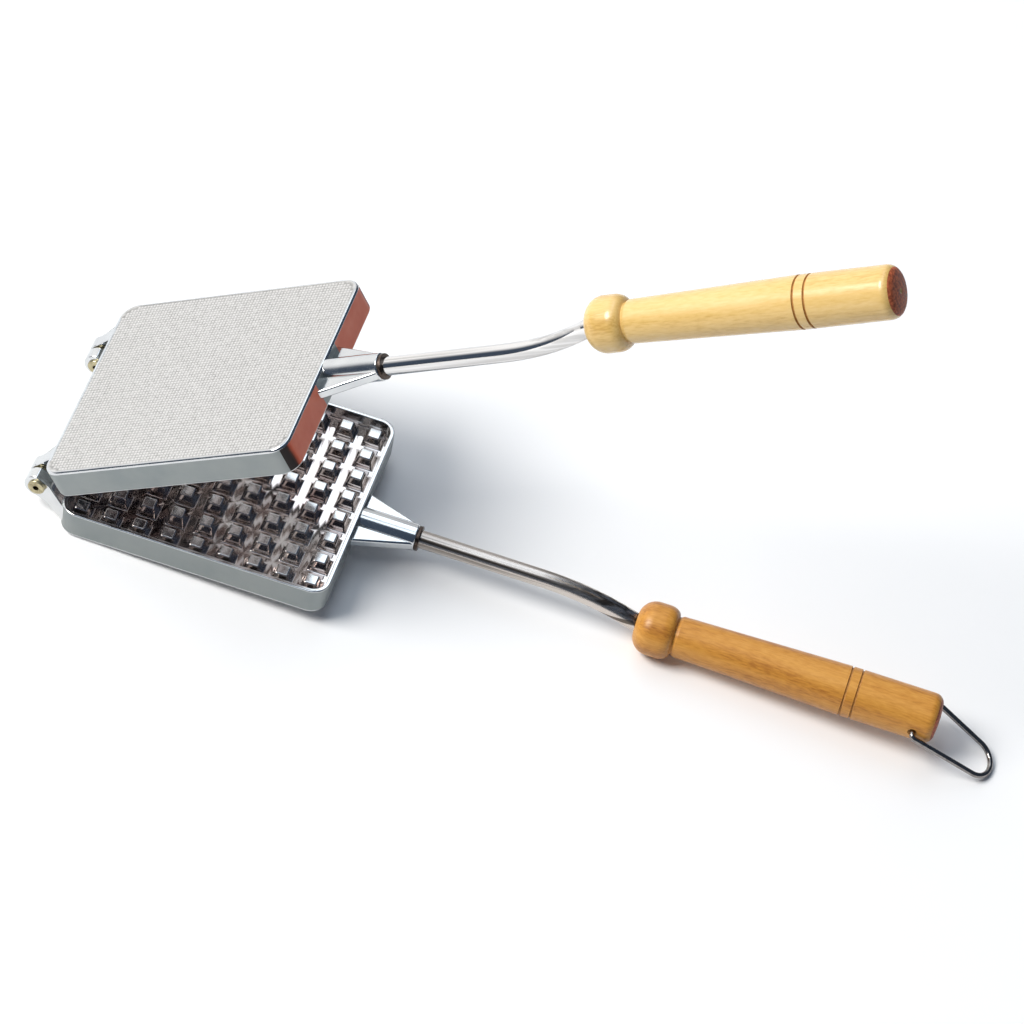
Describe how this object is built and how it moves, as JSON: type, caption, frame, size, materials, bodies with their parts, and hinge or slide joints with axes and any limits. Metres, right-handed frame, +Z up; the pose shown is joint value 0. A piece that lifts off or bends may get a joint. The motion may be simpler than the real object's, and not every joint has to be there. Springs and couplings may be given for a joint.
{
  "type": "stove-top waffle iron",
  "caption": "Stove-top waffle iron with hinged cast plates that bear a deep stud grid, bent steel rods, turned wooden handles and a wire loop to hang it by.",
  "frame": {"origin": "on the table under the middle of the whole open iron's bounding box", "axes": "+X from the hinge towards the handles, +Y across the plates, +Z up"},
  "size_m": [0.4884, 0.12, 0.2988],
  "materials": {
    "cast_aluminium": "cast, satin",
    "polished_steel": "polished",
    "dark_steel": "darkened",
    "brass": "plain",
    "lacquered_wood_orange": "gloss lacquer",
    "lacquered_wood_golden": "gloss lacquer",
    "loop_wire": "dark polished"
  },
  "bodies": {
    "lower_half": {"lower_plate": "cast_aluminium", "lower_rod": "polished_steel", "lower_collar": "dark_steel", "lower_socket_pin": "dark_steel", "lower_handle": "lacquered_wood_orange", "lower_handle_pin": "dark_steel", "near_hinge_rivet": "brass", "far_hinge_rivet": "brass", "near_hinge_spacer": "brass", "far_hinge_spacer": "brass", "near_hinge_washer": "brass", "far_hinge_washer": "brass"},
    "upper_half": {"upper_plate": "cast_aluminium", "upper_rod": "polished_steel", "upper_collar": "dark_steel", "upper_socket_pin": "dark_steel", "upper_handle": "lacquered_wood_golden", "upper_handle_pin": "dark_steel"},
    "loop": {"hanging_loop": "loop_wire"}
  },
  "joints": [
    {"name": "plate_hinge", "type": "hinge", "parent": "lower_half", "child": "upper_half", "pos_m": [-0.2377, 0, 0.01476], "axis": [0, -1, 0], "range_deg": [-32, 138]},
    {"name": "loop_swing", "type": "hinge", "parent": "lower_half", "child": "loop", "pos_m": [0.20017, 0, 0.02139], "axis": [0, -1, 0], "range_deg": [-123, 95]}
  ]
}
